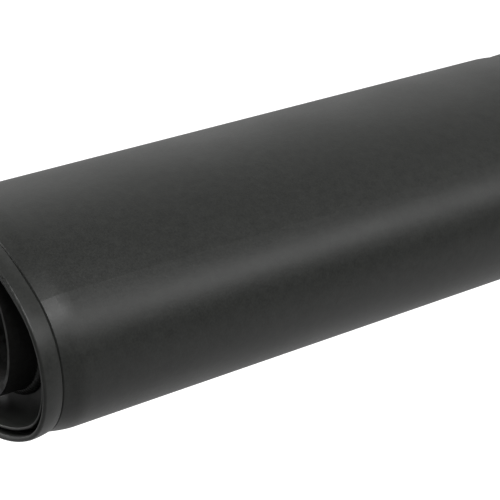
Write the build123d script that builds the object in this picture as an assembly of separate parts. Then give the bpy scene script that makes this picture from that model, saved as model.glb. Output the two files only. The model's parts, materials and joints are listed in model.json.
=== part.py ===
from build123d import *

import os
from math import asin, atan2, cos, degrees, radians, sin, sqrt, tan

# Oval slip-on exhaust muffler: a lock-seamed steel canister with a dished pan at each end, a
# recessed tail pipe with a removable baffle insert, and a slotted inlet pipe with a band clamp.
# Millimetres. The origin is the centre of the inlet mouth. +X points out of that mouth, so the
# canister lies along -X, and +Z is up. The outlet end is the one at the lowest X.

# Canister, a four-arc oval seen along X
half_width = 62.8
half_height = 41.0
side_radius = 31.9
canister_length = 297.0
sheet = 1.0

# Lock seam, measured from the lip plane of either end
lip_radius = 1.0
rim_drop = 0.4
rim_fall = 0.75
rim_length = 7.8
hem_length = 4.2
flange_gap = 0.4
crease_at = 8.4
crease_depth = 1.4
shoulder_angle = 10.5
shoulder_radius = 25.0

# Dished pans
pan_edge_recess = 1.4
pan_lead = 1.1
pan_depth = 18.0
pan_corner_radius = 10.0

# Pipes
inlet_bore = 51.0
inlet_wall = 1.5
inlet_stub = 60.0
tail_bore = 57.3
tail_wall = 1.5
tail_recess = 4.0
core_wall = 1.4
core_lap = 12.0
slot_width = 3.0
slot_length = 32.0
slot_count = 4

# Perforations
core_hole = 5.0
core_hole_pairs = 4
core_row_pitch = 13.0
baffle_hole = 5.0
baffle_hole_pairs = 3
baffle_row_pitch = 11.0

# Partitions and packing
partition_sheet = 1.5
front_partition_depth = 40.0
rear_partition_depth = 62.0
pipe_stand = 14.0
wool_sleeve_wall = 3.5
packing_gap = 0.3

# Baffle insert
collar_recess = 3.0
collar_wall = 3.0
collar_length = 12.0
cone_length = 16.0
cone_wall = 1.5
baffle_tube_outside = 38.0
baffle_tube_wall = 1.5
baffle_tube_length = 84.0
baffle_end_sheet = 1.5
baffle_end_hole = 20.0
ear_sheet = 1.5
ear_width = 14.0
ear_end_margin = 7.0
ear_gap = 0.5

# Baffle screw, boss and washer
screw_clearance = 3.5
screw_diameter = 6.0
screw_length = 10.0
screw_head_diameter = 10.5
screw_head_height = 3.3
screw_socket = 4.0
screw_socket_depth = 2.0
screw_washer_diameter = 12.0
screw_washer_sheet = 1.6
boss_diameter = 12.0
boss_spigot_diameter = 9.0
boss_spigot_length = 4.0
boss_bottom = 1.0

# Hanger bracket, grommet and sleeve
bracket_from_inlet_lip = 110.0
bracket_width = 52.0
bracket_sheet = 4.0
bracket_reach = 24.0
bracket_fall = 40.0
bracket_bend_radius = 4.0
bracket_corner_radius = 12.0
bush_hole = 20.0
bush_flange_diameter = 29.0
bush_flange = 3.0
bush_edge_radius = 1.0
sleeve_outside = 12.0
sleeve_bore = 8.4
sleeve_proud = 0.5

# Inlet band clamp
clamp_from_mouth = 16.0
clamp_width = 20.0
clamp_sheet = 2.0
clamp_gap = 10.0
ear_height = 22.0
ear_corner_radius = 6.0
bolt_diameter = 8.0
bolt_head_flats = 13.0
bolt_head_height = 5.3
nut_height = 6.5
hex_chamfer = 0.5
clamp_washer_diameter = 16.0
clamp_washer_sheet = 1.6
bolt_length = 38.0

# Clearances
seat = 0.05
running = 0.05
slide_fit = 0.1
loose = 0.3

# Places that follow from the sizes above
inlet_lip_x = -inlet_stub
outlet_lip_x = inlet_lip_x - canister_length
middle_x = (inlet_lip_x + outlet_lip_x) / 2
side_centre = half_width - side_radius
top_radius = (side_centre**2 + half_height**2 - side_radius**2) / (2 * (half_height - side_radius))
top_centre = top_radius - half_height
side_turn = degrees(atan2(top_centre, side_centre))

rim_run = rim_length - sheet / 2 - lip_radius
rim_radius = (rim_run**2 + rim_fall**2) / (2 * rim_fall)
rim_turn = asin(rim_run / rim_radius)
rear_turn = rim_turn + sheet / 2 / rim_radius
flange_below = sheet + seat
hem_inside = rim_drop + 2 * lip_radius
hem_turn = asin((hem_length - lip_radius) / (rim_radius - sheet))
flange_turn = asin((hem_length + flange_gap - lip_radius) / (rim_radius - flange_below))
shoulder_turn = radians(shoulder_angle)
shoulder_fall = shoulder_radius * (1 - cos(shoulder_turn))
cone_top = crease_at + (crease_depth - shoulder_fall) / tan(shoulder_turn)
shoulder_end = cone_top + shoulder_radius * sin(shoulder_turn)

inlet_radius = inlet_bore / 2
inlet_outside = inlet_radius + inlet_wall
tail_radius = tail_bore / 2
tail_outside = tail_radius + tail_wall
core_inside = inlet_outside + seat
core_outside = core_inside + core_wall
tail_mouth_x = outlet_lip_x + tail_recess
front_partition_x = inlet_lip_x - front_partition_depth
rear_partition_x = outlet_lip_x + rear_partition_depth
inlet_pipe_end_x = front_partition_x - partition_sheet - pipe_stand
core_start_x = inlet_pipe_end_x + core_lap
core_end_x = rear_partition_x + partition_sheet
rear_hole = min(core_inside, tail_radius)
partition_inset = sheet + seat
packing_start_x = rear_partition_x + partition_sheet + seat
packing_end_x = front_partition_x - partition_sheet - seat
sleeve_radius = core_outside + seat + wool_sleeve_wall

collar_radius = tail_radius - slide_fit
collar_inside = collar_radius - collar_wall
baffle_tube_radius = baffle_tube_outside / 2
collar_front_x = tail_mouth_x + collar_recess
cone_start_x = collar_front_x + collar_length
cone_end_x = cone_start_x + cone_length
baffle_tube_end_x = cone_end_x + baffle_tube_length
ear_face_x = collar_front_x + ear_sheet
screw_radius = screw_diameter / 2
screw_offset = tail_outside + screw_clearance + boss_diameter / 2
screw_seat_x = collar_front_x - screw_washer_sheet

bracket_x = inlet_lip_x - bracket_from_inlet_lip
bracket_outer_y = half_width + bracket_reach
bracket_mid_y = bracket_outer_y - bracket_sheet / 2
bush_z = bracket_sheet / 2 - bracket_fall + bush_flange_diameter / 2 + bush_edge_radius
bush_length = bracket_sheet + 2 * bush_flange

clamp_x = -clamp_from_mouth
clamp_inside = inlet_outside + loose
clamp_outside = clamp_inside + clamp_sheet
bolt_radius = bolt_diameter / 2
bolt_z = -clamp_outside - ear_height / 2
ear_outer_y = clamp_gap / 2 + clamp_sheet


def outline(*edges):
    """The flat face inside a closed run of lines and arcs."""
    return make_face([edge for run in edges for edge in run.edges()])


def oval(inset, x):
    """The canister's oval, drawn in from the body surface by inset, as a face at x."""
    joint_y = side_centre + (side_radius - inset) * cos(radians(side_turn))
    joint_z = (side_radius - inset) * sin(radians(side_turn))
    corners = [(joint_y, -joint_z), (joint_y, joint_z), (-joint_y, joint_z), (-joint_y, -joint_z)]
    wide, high = half_width - inset, half_height - inset
    crowns = [(wide, 0), (0, high), (-wide, 0), (0, -high)]
    arcs = [ThreePointArc(corners[i], crowns[i], corners[(i + 1) % 4]) for i in range(4)]
    return Plane.YZ.offset(x) * outline(*arcs)


def round_oval(profile):
    """Carries a profile, drawn as (x, height above the body surface), round the four arcs."""
    top_turn = 180 - 2 * side_turn
    arcs = [
        (side_radius, 2 * side_turn, -side_turn, Pos(0, side_centre, 0)),
        (top_radius, top_turn, side_turn, Pos(0, 0, -top_centre)),
        (side_radius, 2 * side_turn, 180 - side_turn, Pos(0, -side_centre, 0)),
        (top_radius, top_turn, 180 + side_turn, Pos(0, 0, top_centre)),
    ]
    pieces = []
    for radius, turn, start, centre in arcs:
        swept = revolve(Pos(0, radius, 0) * profile, Axis.X, turn)
        pieces.append(centre * Rot(start, 0, 0) * swept)
    return pieces[0] + pieces[1:]


def tube(outer, inner, x0, x1):
    """A round tube, or a rod where inner is 0, along X about the pipe axis."""
    body = Cylinder(outer, x1 - x0)
    if inner:
        body -= Cylinder(inner, x1 - x0)
    return Pos((x0 + x1) / 2, 0, 0) * Rot(0, 90, 0) * body


def cylinder_x(radius, x0, x1, y=0.0, z=0.0):
    return Pos((x0 + x1) / 2, y, z) * Rot(0, 90, 0) * Cylinder(radius, x1 - x0)


def cylinder_y(radius, y0, y1, x, z):
    return Pos(x, (y0 + y1) / 2, z) * Rot(90, 0, 0) * Cylinder(radius, y1 - y0)


def box(x0, x1, y0, y1, z0, z1):
    return Pos((x0 + x1) / 2, (y0 + y1) / 2, (z0 + z1) / 2) * Box(x1 - x0, y1 - y0, z1 - z0)


def hexagon_y(flats, y0, y1, x, z):
    """A hexagon bar along Y with its end edges broken."""
    bar = extrude(RegularPolygon(flats / 2, 6, major_radius=False), (y1 - y0) / 2, both=True)
    bar = chamfer(bar.faces().filter_by(Axis.Z).edges(), hex_chamfer)
    return Pos(x, (y0 + y1) / 2, z) * Rot(90, 0, 0) * bar


def drilled(body, hole, pairs, pitch, x0, x1):
    """Rows of holes round a tube, staggered by half a step from row to row."""
    rows = int((x1 - x0 - hole) // pitch)
    first = (x0 + x1 - (rows - 1) * pitch) / 2
    step = 180 / pairs
    drill = Cylinder(hole / 2, 2 * half_height)
    drills = [
        Pos(first + row * pitch, 0, 0) * Rot(step * (pair + row % 2 / 2), 0, 0) * drill
        for row in range(rows)
        for pair in range(pairs)
    ]
    return body - drills


def outlet_at(s):
    return outlet_lip_x + s


def inlet_at(s):
    return inlet_lip_x - s


def seam_point(at, below, turn):
    """A point of the arcs that the rim and the flange under it follow, some way below the rim's face."""
    radius = rim_radius - below
    return at(lip_radius + radius * sin(turn)), radius * cos(turn) - rim_radius - rim_drop


def seam_arc(at, below, turn_from, turn_to):
    turns = (turn_from, (turn_from + turn_to) / 2, turn_to)
    return ThreePointArc(*[seam_point(at, below, turn) for turn in turns])


def shell_end(at):
    """The outside of one end of the shell: the flange under the rim, the crease and the shoulder."""
    half_turn = shoulder_turn / 2
    middle = (at(shoulder_end - shoulder_radius * sin(half_turn)), shoulder_radius * (cos(half_turn) - 1))
    flange_end = seam_point(at, flange_below, rear_turn)
    return [
        seam_arc(at, flange_below, flange_turn, rear_turn),
        Polyline(flange_end, (at(crease_at), -crease_depth), (at(cone_top), -shoulder_fall)),
        ThreePointArc((at(cone_top), -shoulder_fall), middle, (at(shoulder_end), 0)),
    ]


def make_shell_profile():
    """The shell's sheet, one thickness in from the line of its outside."""
    middle = Line((outlet_at(shoulder_end), 0), (inlet_at(shoulder_end), 0))
    runs = [*shell_end(outlet_at), middle, *shell_end(inlet_at)]
    outside = Wire([edge for run in runs for edge in run.edges()])
    return make_face(offset(outside, sheet, side=Side.RIGHT))


def make_outlet_rim():
    """The seam's cover ring: a bowed band with a rounded rear edge, hemmed back on itself in front."""
    x = outlet_at
    rear = seam_point(x, sheet / 2, rear_turn)
    hem_end = seam_point(x, sheet, hem_turn)
    hem_front = (x(lip_radius), -hem_inside)
    lip_front = (x(0), -rim_drop - lip_radius)
    return round_oval(
        outline(
            seam_arc(x, 0, 0, rim_turn),
            ThreePointArc(seam_point(x, 0, rim_turn), rear, seam_point(x, sheet, rim_turn)),
            seam_arc(x, sheet, rim_turn, hem_turn),
            Polyline(hem_end, (hem_end[0], -hem_inside), hem_front),
            ThreePointArc(hem_front, lip_front, seam_point(x, 0, 0)),
        )
    )


def make_outlet_pan_blank():
    """A drawn pan: a wall that leads in to the flange, a rounded corner and a flat floor."""
    x = outlet_at
    outer = pan_wall
    inner = pan_wall + sheet
    lead = pan_wall + pan_lead
    front = (x(pan_edge_recess), -lead - sheet / 2)
    start = pan_depth - pan_corner_radius
    foot = inner + pan_corner_radius
    diagonal = pan_corner_radius * sqrt(0.5)
    outer_diagonal = (pan_corner_radius + sheet) * sqrt(0.5)
    edge = pan_edge_recess + sheet / 2
    wall = round_oval(
        outline(
            ThreePointArc((x(edge), -lead), front, (x(edge), -lead - sheet)),
            Line((x(edge), -lead - sheet), (x(start), -inner)),
            ThreePointArc((x(start), -inner), (x(start + diagonal), diagonal - foot), (x(pan_depth), -foot)),
            Line((x(pan_depth), -foot), (x(pan_depth + sheet), -foot)),
            ThreePointArc(
                (x(pan_depth + sheet), -foot),
                (x(start + outer_diagonal), -foot + outer_diagonal),
                (x(start), -outer),
            ),
            Line((x(start), -outer), (x(edge), -lead)),
        )
    )
    return wall + extrude(oval(foot, x(pan_depth)), sheet)


def at_inlet_end(shape):
    return mirror(shape, about=Plane.YZ.offset(middle_x))


def make_outlet_pan():
    pipe_hole = cylinder_x(tail_outside + seat, outlet_lip_x, outlet_at(pan_depth + 2 * sheet))
    hole_from, hole_to = outlet_at(pan_depth - sheet), outlet_at(pan_depth + 2 * sheet)
    boss_hole = cylinder_x(boss_spigot_diameter / 2 + seat, hole_from, hole_to, screw_offset)
    return make_outlet_pan_blank() - pipe_hole - boss_hole


def make_inlet_pan():
    pipe_hole = cylinder_x(inlet_outside + seat, inlet_at(pan_depth + 2 * sheet), inlet_lip_x)
    return at_inlet_end(make_outlet_pan_blank()) - pipe_hole


def make_inlet_pipe():
    pipe = tube(inlet_outside, inlet_radius, inlet_pipe_end_x, 0)
    cutter = box(-slot_length, 1, 0, inlet_outside + 1, -slot_width / 2, slot_width / 2)
    cutter += cylinder_y(slot_width / 2, 0, inlet_outside + 1, -slot_length, 0)
    turns = [360 / slot_count * (i + 0.5) for i in range(slot_count)]
    return pipe - [Rot(turn, 0, 0) * cutter for turn in turns]


def make_core_tube():
    lap_x = inlet_pipe_end_x
    plain = tube(core_outside, core_inside, core_end_x, core_start_x)
    return drilled(plain, core_hole, core_hole_pairs, core_row_pitch, core_end_x, lap_x)


def make_partition(x0, hole):
    plate = extrude(oval(partition_inset, x0), partition_sheet)
    return plate - cylinder_x(hole, x0 - 1, x0 + partition_sheet + 1)


def make_wool_sleeve():
    return tube(sleeve_radius, core_outside + seat, packing_start_x, packing_end_x)


def make_glass_packing():
    block = extrude(oval(sheet + packing_gap, packing_start_x), packing_end_x - packing_start_x)
    return block - cylinder_x(sleeve_radius + seat, packing_start_x - 1, packing_end_x + 1)


def make_baffle_boss():
    """A threaded standoff welded through the pan floor, with a blind hole from the front."""
    floor_x = outlet_at(pan_depth)
    end_x = floor_x + sheet + boss_spigot_length
    boss = cylinder_x(boss_diameter / 2, ear_face_x, floor_x, screw_offset)
    boss += cylinder_x(boss_spigot_diameter / 2, floor_x, end_x, screw_offset)
    return boss - cylinder_x(screw_radius + running, ear_face_x - 1, end_x - boss_bottom, screw_offset)


def make_tail_pipe():
    """The recessed pipe, with a notch in its mouth for the baffle collar's ear."""
    half = ear_width / 2 + ear_gap
    notch = box(tail_mouth_x - 1, ear_face_x + ear_gap, 0, tail_outside + 1, -half, half)
    return tube(tail_outside, tail_radius, tail_mouth_x, rear_partition_x) - notch


def make_baffle_collar():
    """The ring inside the tail pipe's mouth, and the ear that its screw holds."""
    ring = tube(collar_radius, collar_inside, collar_front_x, cone_start_x)
    half = ear_width / 2
    ear_end = screw_offset + ear_end_margin
    ear = box(collar_front_x, ear_face_x, collar_inside + collar_wall / 2, ear_end, -half, half)
    ear = fillet(ear.edges().filter_by(Axis.X).sort_by(Axis.Y)[-2:], half - ear_gap)
    screw_hole = cylinder_x(screw_radius + loose, collar_front_x - 1, ear_face_x + 1, screw_offset)
    return ring + ear - screw_hole


def make_baffle_cone():
    big, small = collar_radius, baffle_tube_radius + cone_wall
    points = [
        (cone_start_x, big),
        (cone_end_x, small),
        (cone_end_x + cone_wall, small),
        (cone_end_x + cone_wall, small - cone_wall),
        (cone_end_x, small - cone_wall),
        (cone_start_x, big - cone_wall),
    ]
    return revolve(outline(Polyline(*points, close=True)), Axis.X, 360)


def make_baffle_tube():
    inside = baffle_tube_radius - baffle_tube_wall
    plain = tube(baffle_tube_radius - seat, inside, cone_end_x, baffle_tube_end_x)
    drill_start_x = cone_end_x + 4 * cone_wall
    return drilled(plain, baffle_hole, baffle_hole_pairs, baffle_row_pitch, drill_start_x, baffle_tube_end_x)


def make_baffle_end():
    x1 = baffle_tube_end_x + baffle_end_sheet
    return tube(baffle_tube_radius, baffle_end_hole / 2, baffle_tube_end_x, x1)


def make_screw_washer():
    ring = Cylinder(screw_washer_diameter / 2, screw_washer_sheet)
    ring -= Cylinder(screw_radius + loose, screw_washer_sheet)
    return Pos(screw_seat_x + screw_washer_sheet / 2, screw_offset, 0) * Rot(0, 90, 0) * ring


def make_baffle_screw():
    head = Cylinder(screw_head_diameter / 2, screw_head_height)
    head = fillet(head.faces().sort_by(Axis.Z)[-1].edges(), screw_head_height / 2)
    socket = extrude(RegularPolygon(screw_socket / 2, 6, major_radius=False), screw_socket_depth)
    head -= Pos(0, 0, screw_head_height / 2 - screw_socket_depth) * socket
    head = Pos(screw_seat_x - screw_head_height / 2, screw_offset, 0) * Rot(0, -90, 0) * head
    return head + cylinder_x(screw_radius, screw_seat_x, screw_seat_x + screw_length, screw_offset)


def make_hanger_bracket():
    """A plate welded along the canister's inboard side, bent down to an upright face."""
    x0, x1 = bracket_x - bracket_width / 2, bracket_x + bracket_width / 2
    top = bracket_sheet / 2
    flat = box(x0, x1, half_width, bracket_outer_y, -top, top)
    upright = box(x0, x1, bracket_outer_y - bracket_sheet, bracket_outer_y, top - bracket_fall, top)
    upright = fillet(upright.edges().filter_by(Axis.Y).sort_by(Axis.Z)[:2], bracket_corner_radius)
    plate = flat + upright
    for level, radius in ((top, bracket_bend_radius + bracket_sheet), (-top, bracket_bend_radius)):
        bends = plate.edges().filter_by(Axis.X).filter_by_position(Axis.Z, level, level)
        plate = fillet(bends.sort_by(Axis.Y)[-1], radius)
    return plate - cylinder_y(bush_hole / 2, half_width, bracket_outer_y + 1, bracket_x, bush_z)


def make_hanger_grommet():
    y0, y1 = bracket_mid_y - bush_length / 2, bracket_mid_y + bush_length / 2
    flange_radius = bush_flange_diameter / 2
    flanges = cylinder_y(flange_radius, y0, y0 + bush_flange, bracket_x, bush_z)
    flanges += cylinder_y(flange_radius, y1 - bush_flange, y1, bracket_x, bush_z)
    flanges = fillet(flanges.edges().filter_by(GeomType.CIRCLE), bush_edge_radius)
    neck = cylinder_y(bush_hole / 2 - seat, y0 + bush_flange / 2, y1 - bush_flange / 2, bracket_x, bush_z)
    return flanges + neck - cylinder_y(sleeve_outside / 2 + seat, y0 - 1, y1 + 1, bracket_x, bush_z)


def make_hanger_sleeve():
    half = bush_length / 2 + sleeve_proud
    y0, y1 = bracket_mid_y - half, bracket_mid_y + half
    body = cylinder_y(sleeve_outside / 2, y0, y1, bracket_x, bush_z)
    return body - cylinder_y(sleeve_bore / 2, y0, y1, bracket_x, bush_z)


def make_clamp_band():
    x0, x1 = clamp_x - clamp_width / 2, clamp_x + clamp_width / 2
    band = tube(clamp_outside, clamp_inside, x0, x1)
    band -= box(x0, x1, -clamp_gap / 2, clamp_gap / 2, -2 * clamp_outside, 0)
    foot = -clamp_outside - ear_height
    ear = box(x0, x1, clamp_gap / 2, ear_outer_y, foot, -clamp_inside)
    ear = fillet(ear.edges().filter_by(Axis.Y).sort_by(Axis.Z)[:2], ear_corner_radius)
    band += ear
    band += mirror(ear, about=Plane.XZ)
    return band - cylinder_y(bolt_radius + loose, -ear_outer_y - 1, ear_outer_y + 1, clamp_x, bolt_z)


def make_clamp_bolt():
    head = hexagon_y(bolt_head_flats, ear_outer_y, ear_outer_y + bolt_head_height, clamp_x, bolt_z)
    return head + cylinder_y(bolt_radius, ear_outer_y - bolt_length, ear_outer_y, clamp_x, bolt_z)


def make_clamp_washer():
    y0, y1 = -ear_outer_y - clamp_washer_sheet, -ear_outer_y
    body = cylinder_y(clamp_washer_diameter / 2, y0, y1, clamp_x, bolt_z)
    return body - cylinder_y(bolt_radius + loose, y0, y1, clamp_x, bolt_z)


def make_clamp_nut():
    y1 = -ear_outer_y - clamp_washer_sheet
    nut = hexagon_y(bolt_head_flats, y1 - nut_height, y1, clamp_x, bolt_z)
    return nut - cylinder_y(bolt_radius + running, y1 - nut_height - 1, y1 + 1, clamp_x, bolt_z)


pan_wall = sheet + seat - seam_point(outlet_at, flange_below, rear_turn)[1]
outlet_rim = make_outlet_rim()
nodes = {
    "outer_shell": round_oval(make_shell_profile()),
    "outlet_rim": outlet_rim,
    "inlet_rim": at_inlet_end(outlet_rim),
    "outlet_pan": make_outlet_pan(),
    "inlet_pan": make_inlet_pan(),
    "inlet_pipe": make_inlet_pipe(),
    "tail_pipe": make_tail_pipe(),
    "core_tube": make_core_tube(),
    "front_partition": make_partition(front_partition_x - partition_sheet, inlet_outside + seat),
    "rear_partition": make_partition(rear_partition_x, rear_hole),
    "steel_wool_sleeve": make_wool_sleeve(),
    "glass_packing": make_glass_packing(),
    "baffle_boss": make_baffle_boss(),
    "baffle_collar": make_baffle_collar(),
    "baffle_cone": make_baffle_cone(),
    "baffle_tube": make_baffle_tube(),
    "baffle_end": make_baffle_end(),
    "screw_washer": make_screw_washer(),
    "baffle_screw": make_baffle_screw(),
    "hanger_bracket": make_hanger_bracket(),
    "hanger_grommet": make_hanger_grommet(),
    "hanger_sleeve": make_hanger_sleeve(),
    "clamp_band": make_clamp_band(),
    "clamp_bolt": make_clamp_bolt(),
    "clamp_washer": make_clamp_washer(),
    "clamp_nut": make_clamp_nut(),
}

os.makedirs("parts", exist_ok=True)
for name, shape in nodes.items():
    export_step(shape, f"parts/{name}.step")
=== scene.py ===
import json
import math

import bmesh
import bpy
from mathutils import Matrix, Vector


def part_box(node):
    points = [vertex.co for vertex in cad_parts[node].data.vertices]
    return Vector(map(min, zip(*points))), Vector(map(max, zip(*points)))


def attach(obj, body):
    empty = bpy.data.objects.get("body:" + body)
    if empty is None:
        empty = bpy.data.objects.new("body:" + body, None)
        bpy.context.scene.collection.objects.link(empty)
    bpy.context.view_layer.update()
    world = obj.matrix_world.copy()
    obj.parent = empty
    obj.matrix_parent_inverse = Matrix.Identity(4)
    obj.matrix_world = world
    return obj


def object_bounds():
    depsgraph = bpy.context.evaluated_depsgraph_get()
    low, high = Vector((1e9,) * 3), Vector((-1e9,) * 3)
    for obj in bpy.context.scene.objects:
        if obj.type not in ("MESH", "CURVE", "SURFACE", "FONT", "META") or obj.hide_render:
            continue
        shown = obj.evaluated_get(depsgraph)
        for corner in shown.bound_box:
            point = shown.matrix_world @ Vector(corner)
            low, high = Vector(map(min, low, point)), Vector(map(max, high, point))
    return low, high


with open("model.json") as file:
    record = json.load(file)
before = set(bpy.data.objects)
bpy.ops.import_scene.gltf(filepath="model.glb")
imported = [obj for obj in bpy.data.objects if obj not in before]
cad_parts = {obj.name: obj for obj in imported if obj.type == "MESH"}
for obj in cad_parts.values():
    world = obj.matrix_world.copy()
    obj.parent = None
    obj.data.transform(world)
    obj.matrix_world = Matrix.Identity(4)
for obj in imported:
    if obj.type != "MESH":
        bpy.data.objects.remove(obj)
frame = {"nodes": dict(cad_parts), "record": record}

cad_box = [list(corner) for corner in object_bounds()]
MM = 0.001

# ---------------------------------------------------------------- places, in metres, from the frame
outlet_lip_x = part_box("outlet_rim")[0].x
half_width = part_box("outer_shell")[1].y

# ---------------------------------------------------------------- camera
CAMERA_AZIMUTH = math.radians(-35.24)
CAMERA_ELEVATION = math.radians(25.49)
CAMERA_DISTANCE = 0.710
CAMERA_LENS = 127.2
AIM = Vector((outlet_lip_x + 0.1288, 0, -0.0066))


def direction_to(azimuth, elevation):
    """The unit vector towards an azimuth, measured from -Y round to +X, and an elevation."""
    level = math.cos(elevation)
    return Vector((math.sin(azimuth) * level, -math.cos(azimuth) * level, math.sin(elevation)))


def look_at_aim(thing, away, distance):
    thing.location = AIM + away * distance
    thing.rotation_euler = (-away).to_track_quat("-Z", "Y").to_euler()
    bpy.context.scene.collection.objects.link(thing)


def make_camera():
    data = bpy.data.cameras.new("camera")
    data.lens = CAMERA_LENS
    data.sensor_width = 36.0
    data.clip_start = 0.01
    data.clip_end = 50.0
    camera = bpy.data.objects.new("camera", data)
    look_at_aim(camera, direction_to(CAMERA_AZIMUTH, CAMERA_ELEVATION), CAMERA_DISTANCE)
    bpy.context.scene.camera = camera


# ---------------------------------------------------------------- shader nodes
NOISE_SPAN = (0.3, 0.7)
EDGE_FLAT, EDGE_SHARP = 0.995, 0.93
PATCH_FROM, PATCH_TO = 0.42, 0.62
WEAR_GLOSS = 0.08


def add_node(tree, kind, sockets=None, **settings):
    """Adds a shader node. A socket's value is either a constant or another node's output."""
    node = tree.nodes.new("ShaderNode" + kind)
    for name, value in settings.items():
        setattr(node, name, value)
    for key, value in (sockets or {}).items():
        if isinstance(value, bpy.types.NodeSocket):
            tree.links.new(value, node.inputs[key])
        else:
            node.inputs[key].default_value = value
    return node


def calculate(tree, operation, *values):
    return add_node(tree, "Math", dict(enumerate(values)), operation=operation).outputs[0]


def spread(tree, value, low, high, to_low=0.0, to_high=1.0, interpolation="LINEAR"):
    """Maps a value's range low to high onto to_low to to_high."""
    sockets = {"Value": value, "From Min": low, "From Max": high, "To Min": to_low, "To Max": to_high}
    return add_node(tree, "MapRange", sockets, interpolation_type=interpolation).outputs["Result"]


def vary(tree, value, low, high):
    """Maps the range that a noise mostly keeps to onto low to high."""
    return spread(tree, value, *NOISE_SPAN, low, high)


def dot_product(tree, first, second):
    return add_node(tree, "VectorMath", {0: first, 1: second}, operation="DOT_PRODUCT").outputs["Value"]


def blend_colour(tree, factor, first, second):
    """Mixes two colours; each is an RGB triple or a socket."""
    node = add_node(tree, "Mix", {"Factor": factor}, data_type="RGBA")
    for socket, colour in zip((node.inputs[6], node.inputs[7]), (first, second)):
        if isinstance(colour, bpy.types.NodeSocket):
            tree.links.new(colour, socket)
        else:
            socket.default_value = (*colour, 1)
    return node.outputs[2]


def noise(tree, size, detail=2.0, roughness=0.5, stretch=(1, 1, 1)):
    """Noise whose blobs are about size metres across in the part's own frame, longer by stretch."""
    place = add_node(tree, "TexCoord").outputs["Object"]
    scale = tuple(1 / (size * along) for along in stretch)
    scaled = add_node(tree, "Mapping", {"Vector": place, "Scale": scale}).outputs["Vector"]
    sockets = {"Vector": scaled, "Scale": 1.0, "Detail": detail, "Roughness": roughness}
    return add_node(tree, "TexNoise", sockets).outputs["Fac"]


def edge_wear(tree, radius, patchiness=6 * MM):
    """0 on open faces, up to 1 in patches along edges and inner corners, where a rounded normal turns."""
    rounded = add_node(tree, "Bevel", {"Radius": radius}, samples=4).outputs["Normal"]
    straight = add_node(tree, "NewGeometry").outputs["Normal"]
    edge = spread(tree, dot_product(tree, rounded, straight), EDGE_FLAT, EDGE_SHARP)
    patch = spread(tree, noise(tree, patchiness, 3.0), PATCH_FROM, PATCH_TO)
    return calculate(tree, "MULTIPLY", edge, patch)


def wear_gloss(tree, wear):
    """How much smoother a rubbed edge is, to take off the roughness."""
    return calculate(tree, "MULTIPLY", wear, WEAR_GLOSS)


def bumps(tree, *layers):
    """Stacks bump nodes. Each layer is a height socket and its height in metres."""
    normal = None
    for height, depth in layers:
        sockets = {"Height": height, "Distance": depth, "Strength": 1.0}
        if normal:
            sockets["Normal"] = normal
        normal = add_node(tree, "Bump", sockets).outputs["Normal"]
    return normal


def socket_name(key):
    """Turns base_color into Base Color."""
    return key.replace("_", " ").title()


def new_material(name, **constants):
    material = bpy.data.materials.new(name)
    material.use_nodes = True
    shader = material.node_tree.nodes["Principled BSDF"]
    for key, value in constants.items():
        shader.inputs[socket_name(key)].default_value = value
    return material, material.node_tree, shader


def wire(tree, shader, **sockets):
    for key, value in sockets.items():
        tree.links.new(value, shader.inputs[socket_name(key)])


# ---------------------------------------------------------------- materials
PAINT_DARK, PAINT_PALE = (0.0120, 0.0130, 0.0116), (0.0262, 0.0278, 0.0250)
PAINT_WORN = (0.060, 0.062, 0.060)
PIPE_BLACK, PIPE_SOOT, PIPE_SPECK = (0.020, 0.021, 0.020), (0.0095, 0.0088, 0.0080), (0.038, 0.033, 0.028)
STEEL_STRAW, STEEL_PURPLE = (0.40, 0.36, 0.30), (0.34, 0.23, 0.17)
STEEL_BLUE, STEEL_PIT = (0.20, 0.21, 0.25), (0.07, 0.055, 0.045)
ZINC_DARK, ZINC_PALE = (0.47, 0.49, 0.51), (0.60, 0.61, 0.61)
ZINC_HAZE, ZINC_EDGE = (0.36, 0.36, 0.35), (0.72, 0.72, 0.71)
OXIDE_DARK, OXIDE_BROWN, OXIDE_RUBBED = (0.020, 0.020, 0.023), (0.040, 0.038, 0.037), (0.22, 0.22, 0.22)
RUBBER_BLACK, RUBBER_BLOOM = (0.014, 0.014, 0.014), (0.040, 0.038, 0.036)
STEEL_WOOL_DARK, STEEL_WOOL_PALE = (0.10, 0.10, 0.10), (0.42, 0.41, 0.39)
GLASS_WOOL_DARK, GLASS_WOOL_PALE = (0.42, 0.38, 0.28), (0.80, 0.77, 0.66)


def heat_paint():
    """Satin high-temperature paint: a fine pebbled grain, cloudy sheen and edges rubbed paler."""
    material, tree, shader = new_material("satin_heat_paint")
    cloud = noise(tree, 38 * MM, 2.0)
    mottle = noise(tree, 3.2 * MM, 3.0)
    grain = noise(tree, 0.8 * MM, 3.0, 0.65)
    peel = noise(tree, 1.6 * MM, 1.0)
    wear = edge_wear(tree, 0.35 * MM)
    tone = calculate(tree, "ADD", vary(tree, mottle, 0, 0.45), vary(tree, grain, 0, 0.55))
    colour = blend_colour(tree, tone, PAINT_DARK, PAINT_PALE)
    colour = blend_colour(tree, calculate(tree, "MULTIPLY", wear, 0.6), colour, PAINT_WORN)
    sheen = calculate(tree, "ADD", vary(tree, cloud, 0.36, 0.42), vary(tree, grain, 0, 0.08))
    rough = calculate(tree, "SUBTRACT", sheen, wear_gloss(tree, wear))
    wire(tree, shader, base_color=colour, roughness=rough)
    wire(tree, shader, normal=bumps(tree, (peel, 0.016 * MM), (grain, 0.024 * MM)))
    return material


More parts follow.
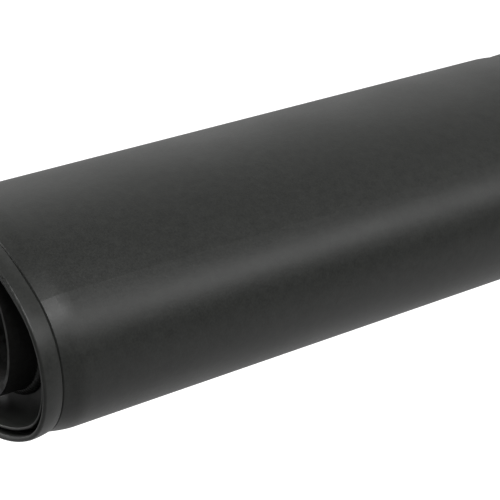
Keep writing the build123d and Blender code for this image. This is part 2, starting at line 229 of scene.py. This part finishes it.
def sooty_pipe():
    """Matt black pipe with a dry, brownish film of soot that lies in blotches."""
    material, tree, shader = new_material("sooty_pipe")
    blotch = noise(tree, 7 * MM, 4.0, 0.6)
    speck = noise(tree, 0.5 * MM, 3.0, 0.7)
    soot = spread(tree, blotch, 0.4, 0.62)
    wear = edge_wear(tree, 0.35 * MM)
    colour = blend_colour(tree, soot, PIPE_BLACK, PIPE_SOOT)
    colour = blend_colour(tree, spread(tree, speck, 0.58, 0.75, 0, 0.6), colour, PIPE_SPECK)
    colour = blend_colour(tree, calculate(tree, "MULTIPLY", wear, 0.8), colour, PAINT_WORN)
    wire(tree, shader, base_color=colour, roughness=spread(tree, soot, 0, 1, 0.48, 0.82))
    wire(tree, shader, normal=bumps(tree, (blotch, 0.04 * MM), (speck, 0.03 * MM)))
    return material


def heat_tinted_steel():
    """Drawn steel with lines along the tube, tinted straw, purple and blue-grey by heat."""
    material, tree, shader = new_material("heat_tinted_steel", metallic=1.0)
    tint = noise(tree, 26 * MM, 3.0)
    lines = noise(tree, 0.25 * MM, 2.0, 0.5, (60, 1, 1))
    pits = noise(tree, 0.9 * MM, 4.0, 0.7)
    colour = blend_colour(tree, spread(tree, tint, 0.36, 0.5), STEEL_STRAW, STEEL_PURPLE)
    colour = blend_colour(tree, spread(tree, tint, 0.5, 0.64), colour, STEEL_BLUE)
    colour = blend_colour(tree, spread(tree, pits, 0.6, 0.72, 0, 0.7), colour, STEEL_PIT)
    pitted = spread(tree, pits, 0.4, 0.8, 0, 0.25)
    rough = calculate(tree, "ADD", vary(tree, lines, 0.26, 0.40), pitted)
    wire(tree, shader, base_color=colour, roughness=rough)
    wire(tree, shader, normal=bumps(tree, (lines, 0.006 * MM), (pits, 0.02 * MM)))
    return material


def zinc_plate():
    """Bright zinc plating: faint crystal facets, hazy patches and polished edges."""
    material, tree, shader = new_material("zinc_plate", metallic=1.0)
    place = add_node(tree, "TexCoord").outputs["Object"]
    facets = add_node(tree, "TexVoronoi", {"Vector": place, "Scale": 1 / (2.2 * MM)}).outputs["Color"]
    facet = add_node(tree, "SeparateColor", {"Color": facets}).outputs[0]
    haze = noise(tree, 9 * MM, 4.0, 0.6)
    scratch = noise(tree, 0.3 * MM, 2.0, 0.6, (1, 30, 1))
    wear = edge_wear(tree, 0.4 * MM)
    colour = blend_colour(tree, facet, ZINC_DARK, ZINC_PALE)
    colour = blend_colour(tree, spread(tree, haze, 0.45, 0.7, 0, 0.7), colour, ZINC_HAZE)
    colour = blend_colour(tree, wear, colour, ZINC_EDGE)
    sheen = calculate(tree, "ADD", vary(tree, haze, 0.24, 0.42), spread(tree, facet, 0, 1, 0, 0.08))
    rough = calculate(tree, "SUBTRACT", sheen, wear_gloss(tree, wear))
    wire(tree, shader, base_color=colour, roughness=rough)
    wire(tree, shader, normal=bumps(tree, (scratch, 0.005 * MM), (haze, 0.01 * MM)))
    return material


def black_oxide():
    """Oiled black oxide on machined steel, rubbed back to grey on its edges."""
    material, tree, shader = new_material("black_oxide", metallic=0.75)
    film = noise(tree, 4 * MM, 4.0, 0.6)
    grain = noise(tree, 0.3 * MM, 2.0)
    wear = edge_wear(tree, 0.3 * MM, 3 * MM)
    colour = blend_colour(tree, spread(tree, film, 0.35, 0.65), OXIDE_DARK, OXIDE_BROWN)
    colour = blend_colour(tree, calculate(tree, "MULTIPLY", wear, 0.8), colour, OXIDE_RUBBED)
    wire(tree, shader, base_color=colour, roughness=vary(tree, film, 0.30, 0.46))
    wire(tree, shader, normal=bumps(tree, (film, 0.008 * MM), (grain, 0.006 * MM)))
    return material


def moulded_rubber():
    """Black moulded rubber with a dull bloom and a fine pebble from the mould."""
    material, tree, shader = new_material("moulded_rubber")
    bloom = noise(tree, 5 * MM, 4.0, 0.65)
    pebble = noise(tree, 0.45 * MM, 2.0)
    colour = blend_colour(tree, spread(tree, bloom, 0.42, 0.68), RUBBER_BLACK, RUBBER_BLOOM)
    wire(tree, shader, base_color=colour, roughness=vary(tree, bloom, 0.58, 0.80))
    wire(tree, shader, normal=bumps(tree, (bloom, 0.03 * MM), (pebble, 0.02 * MM)))
    return material


def fibre_mat(name, dark, pale, strand, metallic):
    """Packed fibre: strands that wind round and along, with painted shade: darker in the hollows between
    strands and lighter on their crests.
    """
    material, tree, shader = new_material(name, metallic=metallic)
    around = noise(tree, strand, 3.0, 0.7, (1, 14, 14))
    along = noise(tree, strand, 3.0, 0.7, (14, 1, 3))
    tuft = noise(tree, 11 * MM, 3.0)
    strands = calculate(tree, "MAXIMUM", around, along)
    # painted shade: the colour follows the strand height, dark in the hollows and pale on the crests
    colour = blend_colour(tree, spread(tree, strands, 0.42, 0.68), dark, pale)
    colour = blend_colour(tree, spread(tree, tuft, 0.5, 0.75, 0, 0.5), colour, dark)
    wire(tree, shader, base_color=colour, roughness=vary(tree, strands, 0.85, 0.55))
    wire(tree, shader, normal=bumps(tree, (tuft, 1.2 * MM), (strands, 0.35 * MM)))
    return material


# ---------------------------------------------------------------- stage and light
FLOOR_SIZE = 12.0
FLOOR_DROP = 0.25
FLOOR_GREY = 0.30
FLOOR_NEAR, FLOOR_FAR = 0.10, 1.20
FLOOR_GLOW_NEAR, FLOOR_GLOW_FAR = 0.42, 0.24
FLOOR_LIT_SIDE = (0.956, 0.292, 0)
FLOOR_LIT_FROM, FLOOR_LIT_TO = -0.04, 0.18
BACKDROP_SIDE = (0.566, 0.824, 0)
BACKDROP_EDGE = (-0.1, 0.45)
BACKDROP_TOP = (-0.85, -0.45)
BACKDROP_LIGHT = 0.62
ROOM_LOW, ROOM_HIGH = 0.035, 0.15
ROOM_RISE = (0.2, 0.75)


def make_floor():
    """A plain floor. It glows white to the camera, so no shadow shows on it. To the object it glows
    more faintly, on one side, and fades with distance."""
    centre = (outlet_lip_x, 0, cad_box[0][2] - FLOOR_DROP)
    bpy.ops.mesh.primitive_plane_add(size=FLOOR_SIZE, location=centre)
    floor = bpy.context.object
    floor.name = "floor"
    material, tree, shader = new_material("floor", roughness=0.9)
    shader.inputs["Base Color"].default_value = (FLOOR_GREY, FLOOR_GREY, FLOOR_GREY, 1)
    shader.inputs["Emission Color"].default_value = (1, 1, 1, 1)
    seen = add_node(tree, "LightPath").outputs["Is Camera Ray"]
    place = add_node(tree, "TexCoord").outputs["Object"]
    far = add_node(tree, "VectorMath", {0: place}, operation="LENGTH").outputs["Value"]
    side = dot_product(tree, place, FLOOR_LIT_SIDE)
    lit = spread(tree, side, FLOOR_LIT_FROM, FLOOR_LIT_TO, interpolation="SMOOTHSTEP")
    fade = spread(tree, far, FLOOR_NEAR, FLOOR_FAR, FLOOR_GLOW_NEAR, FLOOR_GLOW_FAR)
    glow = calculate(tree, "MULTIPLY", fade, lit)
    wire(tree, shader, emission_strength=calculate(tree, "MAXIMUM", seen, glow))
    floor.data.materials.append(material)


def make_world():
    """White to the camera. All else sees a dim room, lighter overhead, with a pale backdrop on one side."""
    world = bpy.data.worlds.new("world")
    world.use_nodes = True
    tree = world.node_tree
    ray = add_node(tree, "TexCoord").outputs["Generated"]

    def facing(vector, low, high):
        return spread(tree, dot_product(tree, ray, vector), low, high, interpolation="SMOOTHSTEP")

    below_top = facing((0, 0, -1), *BACKDROP_TOP)
    backdrop = calculate(tree, "MULTIPLY", facing(BACKDROP_SIDE, *BACKDROP_EDGE), below_top)
    room = calculate(tree, "MULTIPLY_ADD", facing((0, 0, 1), *ROOM_RISE), ROOM_HIGH - ROOM_LOW, ROOM_LOW)
    light = calculate(tree, "MULTIPLY_ADD", backdrop, BACKDROP_LIGHT, room)
    seen = add_node(tree, "LightPath").outputs["Is Camera Ray"]
    tree.nodes["Background"].inputs["Color"].default_value = (1, 1, 1, 1)
    tree.links.new(calculate(tree, "MAXIMUM", seen, light), tree.nodes["Background"].inputs["Strength"])
    bpy.context.scene.world = world


# azimuth and elevation in degrees, distance and (width, height) in metres, power in watts
SOFTBOXES = {
    "key": (33, 36, 2.2, (1.9, 0.5), 12.5),
    "overhead": (-16, 62, 2.2, (1.3, 0.9), 29),
    "back": (205, 28, 2.4, (1.6, 1.0), 26),
}


def softbox(name, azimuth, elevation, distance, size, power):
    data = bpy.data.lights.new(name, "AREA")
    data.shape = "RECTANGLE"
    data.size, data.size_y = size
    data.energy = power
    lamp = bpy.data.objects.new(name, data)
    look_at_aim(lamp, direction_to(math.radians(azimuth), math.radians(elevation)), distance)


# ---------------------------------------------------------------- pieces made here
def add_piece(name, grid, closed, material, body):
    """A closed skin over rows of points. The rows join end to end if closed, and are capped if not."""
    shape = bmesh.new()
    rows = [[shape.verts.new(point) for point in row] for row in grid]
    pairs = zip(rows, rows[1:] + rows[:1]) if closed else zip(rows, rows[1:])
    for row, after in pairs:
        for i in range(len(row)):
            j = (i + 1) % len(row)
            shape.faces.new((row[i], row[j], after[j], after[i]))
    if not closed:
        shape.faces.new(rows[0][::-1])
        shape.faces.new(rows[-1])
    bmesh.ops.recalc_face_normals(shape, faces=shape.faces)
    mesh = bpy.data.meshes.new(name)
    shape.to_mesh(mesh)
    shape.free()
    mesh.shade_smooth()
    mesh.materials.append(material)
    piece = bpy.data.objects.new(name, mesh)
    bpy.context.scene.collection.objects.link(piece)
    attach(piece, body)


RIPPLE_PITCH = 1.9 * MM
RIPPLE_STEPS = 6
RIPPLE_RISE = 0.16
BEAD_POINTS = 7
BEAD_SINK = 0.25
RIPPLE_LEVEL = 0.6
TAPER_START = 0.35

TAIL_WELD_LEG = 2.6 * MM
INLET_WELD_LEG = 3.0 * MM
BOSS_WELD_LEG = 1.6 * MM
BRACKET_WELD_LEG = 3.4 * MM
PAN_SHEET = 1.0 * MM
TO_OUTLET, TO_INLET = Vector((-1, 0, 0)), Vector((1, 0, 0))


def bead_row(corner, first, second, leg, step):
    """One section of a fillet weld: a rounded bead in the corner between two surfaces."""
    phase = (step % RIPPLE_STEPS) / RIPPLE_STEPS
    reach = leg * (1 + RIPPLE_RISE * (math.sqrt(1 - phase) - RIPPLE_LEVEL))
    row = [corner - (first + second) * leg * BEAD_SINK]
    for i in range(BEAD_POINTS):
        turn = math.pi / 2 * i / (BEAD_POINTS - 1)
        row.append(corner + (first * math.cos(turn) + second * math.sin(turn)) * reach)
    return row


def ring_weld(name, centre, radius, along, leg):
    """A weld round a pipe that lies along X, on the side of the plate that along points to."""
    ripples = round(2 * math.pi * radius / RIPPLE_PITCH)
    count = ripples * RIPPLE_STEPS
    grid = []
    for step in range(count):
        turn = 2 * math.pi * step / count
        out = Vector((0, math.cos(turn), math.sin(turn)))
        grid.append(bead_row(centre + out * radius, out, along, leg, step))
    add_piece(name, grid, True, paint, "canister")


def line_weld(name, start, end, first, second, leg):
    """A straight weld that thins out at both ends."""
    length = (end - start).length
    count = round(length / RIPPLE_PITCH) * RIPPLE_STEPS
    grid = []
    for step in range(count + 1):
        part = step / count
        taper = min(1.0, TAPER_START + (1 - TAPER_START) * min(part, 1 - part) * length / leg)
        grid.append(bead_row(start.lerp(end, part), first, second, leg * taper, step))
    add_piece(name, grid, False, paint, "canister")


def make_welds():
    outlet_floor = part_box("outlet_pan")[1].x - PAN_SHEET
    inlet_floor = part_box("inlet_pan")[0].x + PAN_SHEET
    outlet_centre, tail_radius = Vector((outlet_floor, 0, 0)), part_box("tail_pipe")[1].z
    inlet_centre, inlet_radius = Vector((inlet_floor, 0, 0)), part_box("inlet_pipe")[1].z
    ring_weld("tail_pipe_weld", outlet_centre, tail_radius, TO_OUTLET, TAIL_WELD_LEG)
    ring_weld("inlet_pipe_weld", inlet_centre, inlet_radius, TO_INLET, INLET_WELD_LEG)
    boss_low, boss_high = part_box("baffle_boss")
    boss_centre = Vector((outlet_floor, (boss_low.y + boss_high.y) / 2, 0))
    ring_weld("boss_weld", boss_centre, boss_high.z, TO_OUTLET, BOSS_WELD_LEG)
    bracket_low, bracket_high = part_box("hanger_bracket")
    for side, name in ((1, "bracket_weld_top"), (-1, "bracket_weld_bottom")):
        start = Vector((bracket_low.x, half_width, side * bracket_high.z))
        end = Vector((bracket_high.x, half_width, side * bracket_high.z))
        line_weld(name, start, end, Vector((0, 1, 0)), Vector((0, 0, side)), BRACKET_WELD_LEG)


make_camera()
make_floor()
make_world()
for box_name, setting in SOFTBOXES.items():
    softbox(box_name, *setting)
bpy.context.scene.view_settings.view_transform = "Standard"

paint = heat_paint()
finishes = {
    "satin_black_steel": paint,
    "black_pipe_steel": sooty_pipe(),
    "bare_steel": heat_tinted_steel(),
    "zinc_fastener": zinc_plate(),
    "black_fastener": black_oxide(),
    "bush_rubber": moulded_rubber(),
    "steel_wool": fibre_mat("steel_wool", STEEL_WOOL_DARK, STEEL_WOOL_PALE, 0.4 * MM, 0.8),
    "glass_wool": fibre_mat("glass_wool", GLASS_WOOL_DARK, GLASS_WOOL_PALE, 0.5 * MM, 0.0),
}
for subpart in frame["record"]["subparts"]:
    node = frame["nodes"][subpart["node"]]
    node.data.materials.clear()
    node.data.materials.append(finishes[subpart["material_slot"]])

make_welds()
